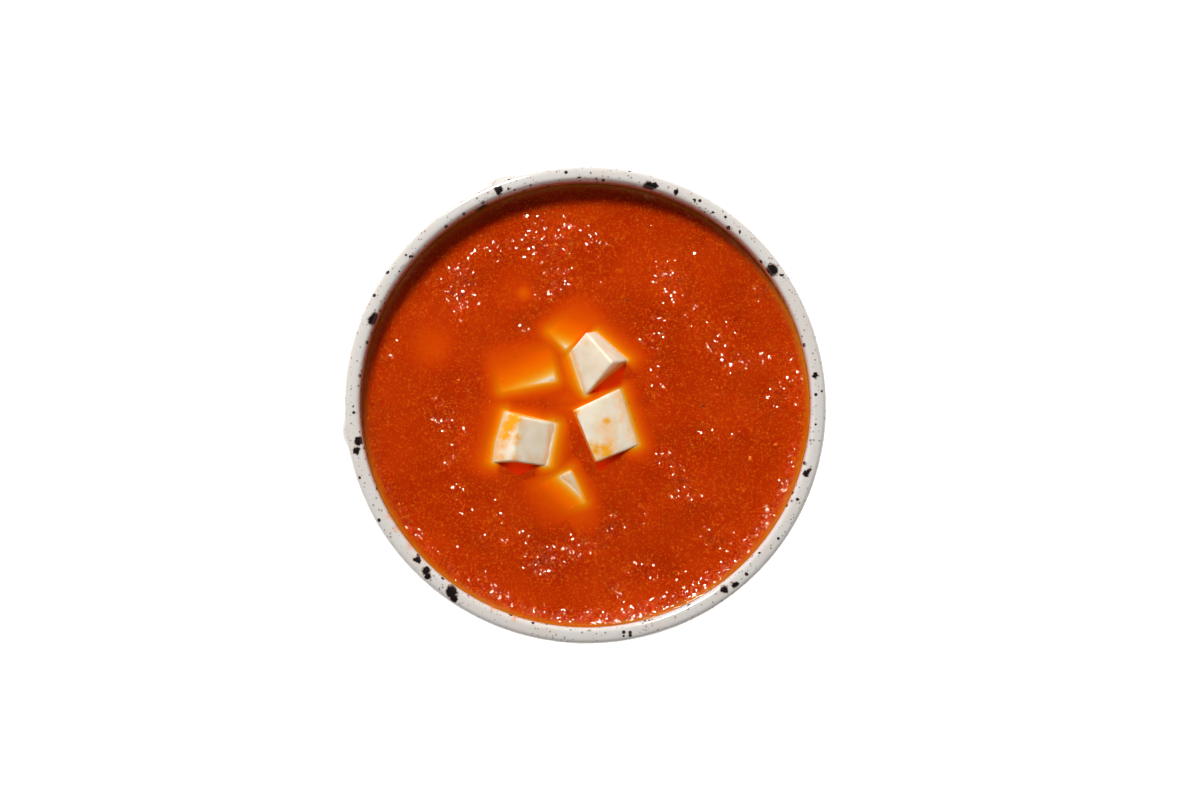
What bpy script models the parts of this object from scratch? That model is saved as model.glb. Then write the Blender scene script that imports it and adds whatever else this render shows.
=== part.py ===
"""A handmade stoneware bowl of tomato soup with six chunks of white cheese in it.

Metres, +Z up. The origin is on the table, under the middle of the bowl. +Y is the far side of the
bowl for someone who sits at it. Azimuths are in degrees, anticlockwise from +X seen from above.
"""

import math
from collections import namedtuple
from itertools import product

import bmesh
import bpy
from mathutils import Matrix, Vector

MM = 0.001

# Bowl
RIM_RADIUS = 75.0 * MM            # outside of the rim
BOWL_HEIGHT = 62.0 * MM
LIP_WIDTH = 4.8 * MM              # thickness of the rounded rim
LIP_HEIGHT = 3.2 * MM             # how far down the rounding of the rim reaches
LIP_FULLNESS = 2.3                # 2 is a plain ellipse, more is flatter on top
FOOT_RADIUS = 42.0 * MM
FOOT_RING_WIDTH = 5.0 * MM
FOOT_HEIGHT = 5.6 * MM            # where the outer wall leaves the foot ring
FOOT_RECESS = 3.0 * MM            # hollow under the bowl, inside the foot ring
FOOT_EDGE = 0.7 * MM              # bevel on the foot ring's two lower edges
FLOOR_HEIGHT = 9.5 * MM           # inside floor of the bowl
OUTER_SHOULDER = 44.0 * MM        # height where the outer wall turns upright
INNER_SHOULDER = 47.0 * MM        # height where the inner wall turns upright
WALL_LEAN = 0.3 * MM              # each wall widens by this from its shoulder to the rim
OUTER_CURVE_START = (18.0 * MM, 3.2 * MM)   # the outer wall's curve would start here, inside the foot
OUTER_CURVE_CUT = 0.25            # share of that curve that the foot hides
OUTER_FULLNESS = 2.3              # 2 is a plain ellipse, more has a tighter bend below the shoulder
INNER_FULLNESS = 2.6
BOWL_SEGMENTS = 90

# Handmade unevenness of the bowl
OUT_OF_ROUND = 0.35 * MM
OUT_OF_ROUND_AT = 158.0
LIP_WAVE = 0.25 * MM
LIP_WAVE_AT = 40.0
WALL_THINNING = 0.3 * MM          # the wall is thinner by this at WALL_THINNING_AT
WALL_THINNING_AT = 95.0
RIM_SWELL = 0.65 * MM             # the whole wall stands further out round RIM_SWELL_AT
RIM_SWELL_AT = 55.0
RIM_SWELL_WIDTH = 28.0
BUMP_REACH = 8.0 * MM             # half height of a bump on the outer wall
# azimuth, depth below the rim, how proud it stands, half width: knocks and thumb marks in the clay
OUTER_BUMPS = (
    (111.0, 9.0 * MM, 3.3 * MM, 4.6),
    (187.0, 9.5 * MM, 2.3 * MM, 3.4),
    (300.0, 15.0 * MM, 0.8 * MM, 8.0),
    (8.0, 22.0 * MM, 1.5 * MM, 13.0),
    (62.0, 26.0 * MM, -0.8 * MM, 12.0),
    (232.0, 30.0 * MM, -0.9 * MM, 15.0),
    (266.0, 34.0 * MM, 0.8 * MM, 11.0),
    (335.0, 30.0 * MM, -0.8 * MM, 11.0),
)

# Soup
SOUP_LEVEL = 53.0 * MM
MENISCUS_HEIGHT = 2.6 * MM        # how far the soup climbs the wall of the bowl
MENISCUS_REACH = 3.3 * MM
SURFACE_WAVE = 0.11 * MM
SOUP_SEGMENTS = 64
SOUP_RINGS = 8                    # rings of the flat middle of the surface
MENISCUS_WIDTH = 10.0 * MM        # the finer rings beside the wall cover this much
MENISCUS_RINGS = 7
GAP = 0.3 * MM                    # left between solids that touch

# Cheese
CUT_EDGE = 0.6 * MM               # softened edges of the cut chunks
CUT_EDGE_STEPS = 2
CUT_EDGE_ANGLE = math.radians(30)  # faces that meet at less than this are one folded side
# Lines from corner to corner on which a side folds where its foot leans or splays unevenly. The side
# at the second edge's start folds inwards, the other two fold outwards.
FOLDS = (((0, 0, 0), (1, 0, 1)), ((1, 1, 0), (0, 1, 1)), ((0, 1, 0), (0, 0, 1)))
# Each chunk is a block that hangs from one corner of its upper face. Lengths are in millimetres.
#   corner: where that corner is, its height counted from the soup's level
#   yaw: azimuth of the block's first edge before it is tilted
#   tilt, toward: the upper face leans this much toward this azimuth
#   size: first edge, second edge, depth
#   drawn: how far the corner across from the first one is drawn out, along both edges
#   lean: how far the foot of the side under the second edge stands out, at its start and its end
#   splay: how far that foot runs on past both ends of the second edge
Chunk = namedtuple("Chunk", "corner yaw tilt toward size drawn lean splay",
                   defaults=((0.0, 0.0), (0.0, 0.0), 0.0))
CHUNKS = {
    "cheese_back": Chunk((8.6, 12.5, 7.8), 134.0, 34.2, 197.8, (13.7, 15.3, 15.0)),
    "cheese_right": Chunk((3.4, -18.4, 3.6), 22.6, 13.0, 17.8, (15.2, 18.0, 14.0),
                          drawn=(1.6, 1.0), lean=(-1.8, -1.8)),
    "cheese_left": Chunk((-23.0, -18.0, 4.9), 351.5, 24.0, 349.0, (14.5, 14.2, 14.0),
                         lean=(7.0, 4.7), splay=2.8),
    "cheese_sunk_left": Chunk((-9.1, 7.8, 0.4), 101.3, 14.4, 114.7, (11.2, 18.3, 12.0)),
    "cheese_sunk_back": Chunk((-6.2, 17.5, 0.3), 43.0, 15.7, 72.0, (14.0, 8.5, 10.5)),
    "cheese_sunk_front": Chunk((-4.8, -20.8, 1.25), 204.0, 20.0, 227.4, (14.0, 11.5, 10.5)),
}


def clear_scene():
    for obj in list(bpy.data.objects):
        bpy.data.objects.remove(obj, do_unlink=True)


def principled(name, colour, roughness, metallic=0.0):
    material = bpy.data.materials.new(name)
    material.use_nodes = True
    shader = material.node_tree.nodes["Principled BSDF"]
    shader.inputs["Base Color"].default_value = (*colour, 1.0)
    shader.inputs["Roughness"].default_value = roughness
    shader.inputs["Metallic"].default_value = metallic
    return material


def object_from(name, bm, material=None):
    """Turn a bmesh into an object with its faces pointing out."""
    bmesh.ops.recalc_face_normals(bm, faces=bm.faces)
    mesh = bpy.data.meshes.new(name)
    bm.to_mesh(mesh)
    bm.free()
    mesh.shade_smooth()
    mesh.set_sharp_from_angle(angle=math.radians(40.0))
    obj = bpy.data.objects.new(name, mesh)
    bpy.context.collection.objects.link(obj)
    if material:
        mesh.materials.append(material)
    return obj


def turned(outline, segments):
    """A closed solid of revolution about Z.

    The outline runs from the axis back to the axis, as (radius, height, outward). Outward is kept on
    each vertex: 0 on the inner side of the bowl's wall, 1 on its outer side.
    """
    bm = bmesh.new()
    layer = bm.verts.layers.float.new("outward")
    points = []
    for radius, height, outward in outline:
        point = bm.verts.new((radius, 0.0, height))
        point[layer] = outward
        points.append(point)
    edges = [bm.edges.new(pair) for pair in zip(points, points[1:])]
    bmesh.ops.spin(bm, geom=points + edges, cent=(0, 0, 0), axis=(0, 0, 1), angle=2 * math.pi,
                   steps=segments, use_merge=True)
    bmesh.ops.remove_doubles(bm, verts=bm.verts, dist=0.01 * MM)
    return bm


def smooth_hill(distance, reach):
    """1 at distance 0, falling smoothly towards 0 past reach."""
    return math.exp(-(distance / reach) ** 2)


def azimuth_between(azimuth, other):
    """Smallest angle from one azimuth to the other, in degrees, always positive."""
    return abs((azimuth - other + 180.0) % 360.0 - 180.0)


def curved_wall(low, high, start, fullness, steps, outward):
    """Points on a quarter of a superellipse that leaves low level and reaches high upright.

    start is the share of the quarter that is left out at its low end.
    """
    points = []
    for step in range(steps + 1):
        angle = (start + (1.0 - start) * step / steps) * math.pi / 2
        radius = low[0] + (high[0] - low[0]) * math.sin(angle) ** (2 / fullness)
        height = high[1] - (high[1] - low[1]) * math.cos(angle) ** (2 / fullness)
        points.append((radius, height, outward))
    return points


def inner_outline(steps=6):
    """The bowl's inside, from the middle of its floor up to where the rounding of the rim begins."""
    top = RIM_RADIUS - LIP_WIDTH
    curve = curved_wall((0.0, FLOOR_HEIGHT), (top - WALL_LEAN, INNER_SHOULDER), 0.0,
                        INNER_FULLNESS, steps, 0.0)
    return curve + [(top, BOWL_HEIGHT - LIP_HEIGHT, 0.0)]


def outer_outline(steps=6, upright_steps=3):
    """The bowl's outside, from the top of its foot ring to where the rounding of the rim begins."""
    curve = curved_wall(OUTER_CURVE_START, (RIM_RADIUS - WALL_LEAN, OUTER_SHOULDER), OUTER_CURVE_CUT,
                        OUTER_FULLNESS, steps, 1.0)
    upright = BOWL_HEIGHT - LIP_HEIGHT - OUTER_SHOULDER
    shares = [step / upright_steps for step in range(1, upright_steps + 1)]
    return curve + [(RIM_RADIUS - WALL_LEAN * (1.0 - share), OUTER_SHOULDER + upright * share, 1.0)
                    for share in shares]


def lip_outline(steps=7):
    """The rounding of the rim, from its outside over the top to its inside, without its two ends."""
    middle = RIM_RADIUS - LIP_WIDTH / 2
    points = []
    for step in range(1, steps):
        angle = math.pi * step / steps
        across = math.copysign(abs(math.cos(angle)) ** (2 / LIP_FULLNESS), math.cos(angle))
        rise = math.sin(angle) ** (2 / LIP_FULLNESS)
        points.append((middle + across * LIP_WIDTH / 2, BOWL_HEIGHT - LIP_HEIGHT * (1.0 - rise),
                       0.5 + across / 2))
    return points


def foot_outline():
    """The underside, from the axis over the foot ring up to the outer wall."""
    inside = FOOT_RADIUS - FOOT_RING_WIDTH
    points = [
        (0.0, FOOT_RECESS),
        (inside - FOOT_EDGE, FOOT_RECESS),
        (inside, FOOT_EDGE),
        (inside + FOOT_EDGE, 0.0),
        (FOOT_RADIUS - FOOT_EDGE, 0.0),
        (FOOT_RADIUS, FOOT_EDGE),
        (FOOT_RADIUS - FOOT_EDGE / 2, FOOT_HEIGHT),
    ]
    return [(radius, height, 1.0) for radius, height in points]


def bump_height(azimuth, height):
    """How far the outer wall stands out of its turned shape at a place."""
    total = 0.0
    for centre, depth, proud, half_width in OUTER_BUMPS:
        sideways = smooth_hill(azimuth_between(azimuth, centre), half_width)
        total += proud * sideways * smooth_hill(BOWL_HEIGHT - depth - height, BUMP_REACH)
    return total


def wall_shift(azimuth, radius, height, outward):
    """How far a point of the bowl's wall is off its true circle."""
    rise = max(0.0, (height - FOOT_HEIGHT) / (BOWL_HEIGHT - FOOT_HEIGHT))
    oval = OUT_OF_ROUND * math.cos(math.radians(2.0 * (azimuth - OUT_OF_ROUND_AT)))
    thinning = WALL_THINNING * math.cos(math.radians(azimuth - WALL_THINNING_AT)) * (0.5 - outward)
    inward_fade = outward + (1.0 - outward) * (radius / RIM_RADIUS) ** 2
    below_lip = min(1.0, (BOWL_HEIGHT - height) / LIP_HEIGHT)
    swell = RIM_SWELL * smooth_hill(azimuth_between(azimuth, RIM_SWELL_AT), RIM_SWELL_WIDTH)
    bump = outward * below_lip * bump_height(azimuth, height)
    return rise * (oval + thinning + swell) * inward_fade + bump


def make_uneven(bm):
    """Move a turned mesh's vertices off their true circles, as hands leave a bowl."""
    layer = bm.verts.layers.float["outward"]
    for vert in bm.verts:
        radius = math.hypot(vert.co.x, vert.co.y)
        if radius < MM:
            continue
        azimuth = math.degrees(math.atan2(vert.co.y, vert.co.x))
        height = vert.co.z
        scale = 1.0 + wall_shift(azimuth, radius, height, vert[layer]) / radius
        vert.co.x *= scale
        vert.co.y *= scale
        lip_share = max(0.0, 1.0 - (BOWL_HEIGHT - height) / LIP_HEIGHT)
        vert.co.z += LIP_WAVE * lip_share * math.cos(math.radians(2.0 * (azimuth - LIP_WAVE_AT)))


def make_bowl(material):
    outline = foot_outline() + outer_outline()[1:] + lip_outline() + inner_outline()[::-1]
    bm = turned(outline, BOWL_SEGMENTS)
    make_uneven(bm)
    return object_from("bowl", bm, material)


def surface_wave(x, y):
    """Low swells left in the thick soup when it was poured and stirred."""
    swell = math.sin(x / (9.0 * MM) + 1.9) * math.cos(y / (11.0 * MM) - 0.7)
    cross = math.sin((x + 1.7 * y) / (15.0 * MM) + 3.5)
    return SURFACE_WAVE * (swell + cross)


def soup_outline(wall_radius):
    """From the bottom of the soup up its side, then over its surface back to the axis."""
    top = SOUP_LEVEL + MENISCUS_HEIGHT
    side = [(max(0.0, radius - GAP), height + GAP, 0.0) for radius, height, _ in inner_outline()
            if height < top - 2.0 * MM]
    surface = []
    for ring in range(MENISCUS_RINGS):
        inward = MENISCUS_WIDTH * (ring / MENISCUS_RINGS) ** 1.6
        surface.append((wall_radius - inward, top, 0.0))
    flat_radius = wall_radius - MENISCUS_WIDTH
    for ring in range(SOUP_RINGS, -1, -1):
        surface.append((flat_radius * ring / SOUP_RINGS, top, 0.0))
    return side + surface


def make_soup(material, cutters):
    wall_radius = RIM_RADIUS - LIP_WIDTH - WALL_LEAN / 2 - GAP
    bm = turned(soup_outline(wall_radius), SOUP_SEGMENTS)
    for vert in bm.verts:
        if vert.co.z > SOUP_LEVEL + MENISCUS_HEIGHT / 2:
            inward = wall_radius - math.hypot(vert.co.x, vert.co.y)
            climb = MENISCUS_HEIGHT * math.exp(-inward / MENISCUS_REACH)
            vert.co.z = SOUP_LEVEL + climb + surface_wave(vert.co.x, vert.co.y)
    make_uneven(bm)
    soup = object_from("soup", bm, material)
    for cutter in cutters:
        cut = soup.modifiers.new("make " + cutter.name, "BOOLEAN")
        cut.operation = "DIFFERENCE"
        cut.solver = "EXACT"
        cut.object = cutter
    return soup


def chunk_block(chunk, grow):
    """A hand-cut block below and beyond the origin, larger all round by grow.

    Each corner is known by three marks, 0 or 1: far along the first edge, far along the second, low.
    """
    bm = bmesh.new()
    corners = {}
    for marks in product((0, 1), repeat=3):
        far_first, far_second, low = marks
        onward = 1.0 if far_second else -1.0
        x = far_first * chunk.size[0]
        y = far_second * chunk.size[1]
        if far_first and far_second:
            x += chunk.drawn[0]
            y += chunk.drawn[1]
        if low and not far_first:
            x -= chunk.lean[far_second]
            y += onward * chunk.splay
        corners[marks] = bm.verts.new((x * MM + (grow if far_first else -grow), y * MM + onward * grow,
                                       -low * chunk.size[2] * MM + (-grow if low else grow)))
    for axis in range(3):
        for side in (0, 1):
            around = [list(pair) for pair in ((0, 0), (1, 0), (1, 1), (0, 1))]
            for marks in around:
                marks.insert(axis, side)
            bm.faces.new([corners[tuple(marks)] for marks in around])
    for start, end in FOLDS:
        bmesh.ops.connect_verts(bm, verts=[corners[start], corners[end]])
    bmesh.ops.recalc_face_normals(bm, faces=bm.faces)
    return bm


def chunk_place(chunk):
    """Where a block stands: yawed, then tilted, then moved to its corner."""
    toward = math.radians(chunk.toward)
    hinge = Vector((-math.sin(toward), math.cos(toward), 0.0))
    x, y, height = (length * MM for length in chunk.corner)
    return (Matrix.Translation((x, y, SOUP_LEVEL + height))
            @ Matrix.Rotation(math.radians(chunk.tilt), 4, hinge)
            @ Matrix.Rotation(math.radians(chunk.yaw), 4, "Z"))


def make_chunk(name, chunk, material):
    bm = chunk_block(chunk, 0.0)
    edges = [edge for edge in bm.edges if edge.calc_face_angle() > CUT_EDGE_ANGLE]
    bmesh.ops.bevel(bm, geom=edges, offset=CUT_EDGE, segments=CUT_EDGE_STEPS, profile=0.5,
                    affect="EDGES", material=-1)
    obj = object_from(name, bm, material)
    obj.matrix_world = chunk_place(chunk)
    return obj


def make_cutter(name, chunk):
    """A slightly larger block that leaves room for a chunk in the soup."""
    obj = object_from("room for " + name, chunk_block(chunk, GAP))
    obj.matrix_world = chunk_place(chunk)
    obj.display_type = "WIRE"
    obj.hide_render = True
    return obj


def main():
    clear_scene()
    glaze = principled("glazed stoneware", (0.58, 0.56, 0.53), 0.25)
    tomato = principled("tomato soup", (0.48, 0.04, 0.002), 0.3)
    cheese = principled("white cheese", (0.77, 0.67, 0.50), 0.55)
    make_bowl(glaze)
    for name, chunk in CHUNKS.items():
        make_chunk(name, chunk, cheese)
    make_soup(tomato, [make_cutter(name, chunk) for name, chunk in CHUNKS.items()])


main()
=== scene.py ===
"""Looks of a handmade stoneware bowl of tomato soup with six chunks of white cheese in it.

Metres, +Z up. The origin is on the table, under the middle of the bowl. +Y is the far side of the
bowl for someone who sits at it. Azimuths are in degrees, anticlockwise from +X seen from above.
"""

import math
import random

import bmesh
import bpy
from bpy.props import FloatProperty, FloatVectorProperty, IntProperty, PointerProperty
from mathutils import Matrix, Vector, noise
from mathutils.bvhtree import BVHTree


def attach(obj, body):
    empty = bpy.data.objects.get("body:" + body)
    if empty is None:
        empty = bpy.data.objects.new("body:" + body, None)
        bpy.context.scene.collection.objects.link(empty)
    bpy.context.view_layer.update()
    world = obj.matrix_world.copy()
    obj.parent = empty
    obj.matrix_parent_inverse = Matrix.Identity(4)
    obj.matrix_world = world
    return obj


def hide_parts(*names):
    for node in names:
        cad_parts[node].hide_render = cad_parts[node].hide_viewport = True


bl_info = {
    "name": "Bowl of tomato soup",
    "version": (1, 0, 0),
    "blender": (4, 5, 0),
    "location": "3D View > Sidebar > Soup",
    "description": "Builds a speckled stoneware bowl of tomato soup with chunks of white cheese",
    "category": "Object",
}

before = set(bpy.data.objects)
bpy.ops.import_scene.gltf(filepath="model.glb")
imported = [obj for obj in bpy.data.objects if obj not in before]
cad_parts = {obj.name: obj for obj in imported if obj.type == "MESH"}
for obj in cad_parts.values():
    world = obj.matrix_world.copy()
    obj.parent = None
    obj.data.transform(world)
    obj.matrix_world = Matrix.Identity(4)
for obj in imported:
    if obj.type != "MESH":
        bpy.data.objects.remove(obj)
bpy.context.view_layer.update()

MM = 0.001

# Shape of the bowl that a user would leave alone
LIP_HEIGHT = 3.2 * MM             # how far down the rounding of the rim reaches
LIP_FULLNESS = 3.4                # 2 is a plain ellipse, more is flatter on top
FOOT_RING_WIDTH = 5.0 * MM
FOOT_HEIGHT = 5.6 * MM            # where the outer wall leaves the foot ring
FOOT_RECESS = 3.0 * MM            # hollow under the bowl, inside the foot ring
FOOT_EDGE = 0.7 * MM              # rounding of the foot ring's two lower edges
FLOOR_HEIGHT = 9.5 * MM           # inside floor of the bowl
OUTER_SHOULDER = 44.0 * MM        # height where the outer wall turns upright
INNER_SHOULDER = 47.0 * MM        # height where the inner wall turns upright
WALL_LEAN = 0.3 * MM              # each wall widens by this from its shoulder to the rim
OUTER_CURVE_START = (18.0 * MM, 3.2 * MM)   # inside the foot: where the wall's curve would start
OUTER_CURVE_CUT = 0.25            # share of that curve that the foot hides
OUTER_FULLNESS = 2.3
INNER_FULLNESS = 2.6

# Handmade unevenness of the bowl
OUT_OF_ROUND = 0.35 * MM
OUT_OF_ROUND_AT = 158.0
LIP_WAVE = 0.25 * MM
LIP_WAVE_AT = 40.0
LIP_WOBBLE = 0.10 * MM
LIP_WOBBLE_LENGTH = 13.0 * MM
WALL_THINNING = 0.3 * MM          # the wall is thinner by this at WALL_THINNING_AT
WALL_THINNING_AT = 95.0
RIM_SWELL = 0.65 * MM             # the whole wall stands further out round RIM_SWELL_AT
RIM_SWELL_AT = 55.0
RIM_SWELL_WIDTH = 28.0
THROWING_SPACING = 4.6 * MM       # the potter's fingers rise this much with each turn
THROWING_DEPTH = 0.07 * MM
BUMP_REACH = 8.0 * MM             # half height of a bump on the outer wall
# Knocks and thumb marks in the clay: azimuth, millimetres below the rim and out, half width
OUTER_BUMPS = (
    (111.0, 9.0, 3.3, 4.6), (187.0, 9.5, 2.3, 3.4), (300.0, 15.0, 0.8, 8.0), (8.0, 22.0, 1.5, 13.0),
    (62.0, 26.0, -0.8, 12.0), (232.0, 30.0, -0.9, 15.0), (266.0, 34.0, 0.8, 11.0),
    (335.0, 30.0, -0.8, 11.0),
)

# Iron spots that melted through the glaze: azimuth, then distance from the axis and size across
# in millimetres
IRON_SPOTS = (
    (73.6, 70.8, 3.7), (72.4, 71.6, 2.6), (35.4, 71.6, 3.9), (33.1, 73.3, 1.2), (158.4, 70.8, 4.0),
    (189.6, 71.4, 3.0), (192.0, 72.6, 2.4), (234.8, 71.7, 3.9), (236.2, 73.1, 2.6),
    (226.6, 71.8, 2.7), (228.0, 72.6, 2.2), (223.3, 71.3, 2.2), (112.1, 72.2, 3.0),
    (342.3, 72.2, 2.3), (306.6, 72.2, 2.6), (309.3, 73.1, 2.2), (140.0, 71.1, 1.5),
    (148.4, 69.5, 1.9), (91.6, 70.8, 1.0), (66.8, 72.3, 1.6), (61.8, 72.4, 1.2), (56.0, 71.9, 1.1),
    (50.8, 70.6, 1.7), (48.0, 72.2, 0.9), (6.7, 72.3, 1.7),
)
WALL_SPOT = (117.6, 69.9, 4.2)    # one iron spot is on the inner wall,
WALL_SPOT_HEIGHT = 57.6 * MM      # this far above the table
# Places where soup ran thinly over the inner edge of the rim, in the same way
SOUP_RUNS = (
    (210.0, 70.4, 3.6), (214.0, 70.6, 3.0), (219.2, 70.6, 2.8), (225.0, 70.0, 2.6),
    (230.0, 70.0, 3.2), (246.0, 70.3, 4.0), (252.0, 70.5, 3.0), (287.0, 70.6, 2.6),
)
# Beads where the glaze gathered on the rim: the same, and their height in millimetres
GLAZE_BEADS = (
    (144.4, 72.6, 4.6, 0.10), (148.0, 72.8, 3.6, 0.08), (179.0, 72.4, 3.4, 0.08),
    (205.0, 72.6, 3.0, 0.10), (258.0, 71.6, 2.6, 0.12), (279.0, 72.4, 3.2, 0.12),
    (62.0, 73.6, 2.6, 0.08), (333.0, 72.6, 2.4, 0.10),
)
RAGGED_EDGE = 2.2 * MM            # how far the edges of such marks wander, at most half of it
TIDE_MARK = (59.3 * MM, 57.2 * MM)   # the soup's film on the inner wall fades in over these heights
TIDE_WAVE = 2.4 * MM
FILM_TOP = 58.6 * MM              # the film is thinnest there
# Over this band the outside of the lip is greyer: partly thin glaze, partly painted shade
THIN_GLAZE_AND_SHADE = (5.0 * MM, 3.0 * MM)    # below the rim: the glaze gets thin over the lip from there up

# Relief of the soup
SURFACE_WAVE = 0.11 * MM          # low swells, as in the solid
SOUP_CELLS = 272                  # the surface's grid, about one cell every half millimetre
STIR_SPACING = 7.0 * MM           # rounded ridges that the spoon left, one behind the other
STIR_LENGTHS = 3.0
STIR_DEPTH = 0.55 * MM
RIPPLE_SIZE = 3.2 * MM
RIPPLE_DEPTH = 0.30 * MM
RIPPLE_LEAST = 0.15               # share of it that is left where no pulp shows
CALM_STIR = 0.35                  # share of the spoon's ridges that is left there
SETTLE_REACH = 1.5 * MM           # the relief starts from the wall over this much
GRAIN_HEIGHT = 0.06 * MM          # unevenness finer than the mesh where the surface is roughest
# size of the grains just under the skin of liquid, and how much each tilts it at most
GRAIN_TILTS = ((1.10 * MM, 0.40), (0.55 * MM, 0.40))
GRAIN_BASE = 0.2                  # how grainy the soup is between the rough places
GRAIN_LEAST = 0.06
GRAIN_CHANGE = 0.5                # more or less grain in patches of GRAIN_PATCHES
GRAIN_PATCHES = 9.0 * MM
CHEESE_CALM = (1.0 * MM, 8.0 * MM)   # no grain nearer to a chunk than the first, all past the second
WALL_CALM = (0.5 * MM, 1.6 * MM)  # the same at the bowl's wall

# Edges of the soup
MENISCUS_REACH = 3.3 * MM
MENISCUS_GRAIN = 0.85             # grain where the soup starts to climb the wall
MENISCUS_GRAIN_LEAST = 0.15       # share of it on the other side of the bowl
MENISCUS_GRAIN_REACH = 2.4 * MM
MENISCUS_GRAIN_AT = 280.0         # most of it there, where the spoon pushed it
MENISCUS_GRAIN_WIDTH = 100.0
WEDGE_REACH = 1.2 * MM            # against the wall the soup is thin over about this much
CLING_REACH = 0.7 * MM            # how far from a chunk the soup starts to climb it
CLING_HEIGHT = 0.16 * MM
WALL_OVERLAP = 0.03 * MM          # the wet edge closes on the glaze with no gap
BODY_TOP = 48.0 * MM              # below the surface's edge the soup's side starts under this height
BODY_GAP = 0.3 * MM               # out of sight it stays this far off the bowl

# Light in the soup, painted into its colour and as a glow
GLOW_REACH = 1.5 * MM             # light from a lit chunk fades to a third over this much soup
FAINTEST_GLOW = 0.01
SIDE_GLOW = 0.55                  # share of its light that a high side gives where the sun meets it
HIGH_EDGE = (0.3 * MM, 2.0 * MM)  # an edge counts as low under the first and as high over the second
EDGE_INSIDE = 0.6 * MM            # a chunk's height at its edge is taken this far inside it
LEE_REACH = 12.0 * MM             # no chunk's shadow is longer
LEE_HEIGHT = (0.5 * MM, 4.5 * MM)    # light comes in above the first, fully above the second
LIGHT_SPREAD = 0.08               # tangent of about half the angle the light fills in the sky
BEYOND = 0.1                      # metres: further than anything in the bowl
SKIN = 0.1                        # millimetres of soup left on a chunk's wet edge
DEEPEST = 8.0                     # millimetres: deeper soup isn't told apart
SEEN_DEPTH = 4.0                  # millimetres of soup that cheese shows through
SEEN_WAY = 8.0                    # millimetres that light from a chunk's side comes
SUNK_FADE = 2.2 * MM              # a sunk chunk's light fades by this much soup within its spread
# Wholly sunk chunks that only lighten the soup above them, as painted glow: x, y, depth and spread
# in millimetres
SUNK_GLOWS = (
    (-19.6, 35.6, 2.0, 2.6), (-22.5, 36.0, 4.6, 9.0), (-48.5, 18.5, 3.4, 8.0),
    (-39.0, 16.0, 5.4, 9.0), (-1.5, -34.0, 3.0, 7.0), (-4.0, 1.0, 3.0, 9.0), (20.0, -4.0, 5.2, 7.0),
)
# Places where the pulp lies close under the surface: x, y, spread in millimetres, and strength
ROUGH_PLACES = (
    (-41.0, 39.0, 9.0, 1.0), (-29.0, 48.0, 9.0, 0.8), (-12.0, 53.0, 10.0, 0.9),
    (-10.0, 39.0, 8.0, 0.75), (6.0, 49.0, 10.0, 0.55), (28.0, 42.0, 13.0, 0.4),
    (47.0, 20.0, 14.0, 0.55), (-50.0, 0.0, 9.0, 0.55), (-40.0, -30.0, 9.0, 0.4),
    (-29.0, -41.0, 8.0, 0.65), (-4.0, -42.0, 9.0, 1.0), (-11.0, -50.0, 8.0, 0.75),
    (19.0, -50.0, 7.0, 0.7), (6.0, -39.0, 8.0, 0.8), (17.0, -39.0, 7.0, 0.55),
    (40.0, -38.0, 9.0, 0.5), (31.0, -24.0, 12.0, 0.6), (54.0, -8.0, 14.0, 0.55),
)

# Cheese
CHEESE_FACE = 0.28 * MM           # size of the mesh's faces
WIDE_DENTS = 5.0 * MM             # unevenness of the cut faces, wide and as fine as the curd
FINE_DENTS = 1.8 * MM
WET_EDGE = 0.6                    # how orange a chunk is just above the soup,
WET_EDGE_RISE = (0.1 * MM, 1.3 * MM)     # fading out between these heights,
# On a steep side the orange is partly soaking and partly painted glow, for red light from the soup
WET_AND_GLOW_FLANK_RISE = (1.5 * MM, 6.0 * MM)    # or these on a steep side
STEEP = (0.25, 0.55)              # upward part of the normal of steep and of flat sides
STAIN_BLUR = 2.1                  # a stain fades out over this many times its reach
STAIN_GAIN = 1.3
# Stains that the soup left on each chunk: x, y and reach in millimetres, and strength
STAINS = {
    "cheese_right": (
        (-2.9, -2.6, 0.8, 0.9), (6.6, -5.3, 1.1, 1.1), (6.6, -7.2, 2.6, 0.45),
        (3.4, -14.4, 2.0, 0.9), (6.6, -14.6, 2.2, 1.1), (1.9, -12.9, 1.3, 0.55),
        (7.6, -11.4, 1.9, 0.55), (3.6, -17.6, 1.6, 0.5),
    ),
    "cheese_left": (
        (-22.6, -4.9, 2.0, 1.2), (-24.2, -6.9, 2.0, 1.2), (-25.4, -9.6, 1.6, 1.1),
        (-26.4, -12.9, 1.6, 0.6), (-26.8, -16.6, 1.4, 0.6), (-21.3, -10.6, 1.0, 0.8),
        (-21.6, -12.4, 0.8, 0.6), (-22.0, -17.0, 1.3, 0.55), (-16.2, -17.8, 1.6, 0.3),
    ),
    "cheese_back": (
        (0.3, 19.2, 0.8, 0.25), (5.8, 10.2, 1.0, 0.18), (-3.5, 14.4, 1.4, 0.18),
        (-5.0, 13.2, 0.5, 0.5),
    ),
    "cheese_sunk_left": (),
    "cheese_sunk_back": (),
    "cheese_sunk_front": ((-8.0, -22.6, 0.8, 0.35),),
}

# Bits in the soup
SCATTER_RADIUS = 64.0 * MM
HIGHEST_BIT = 1.2 * MM            # none lie higher above the soup's level, where it climbs the wall
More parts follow.
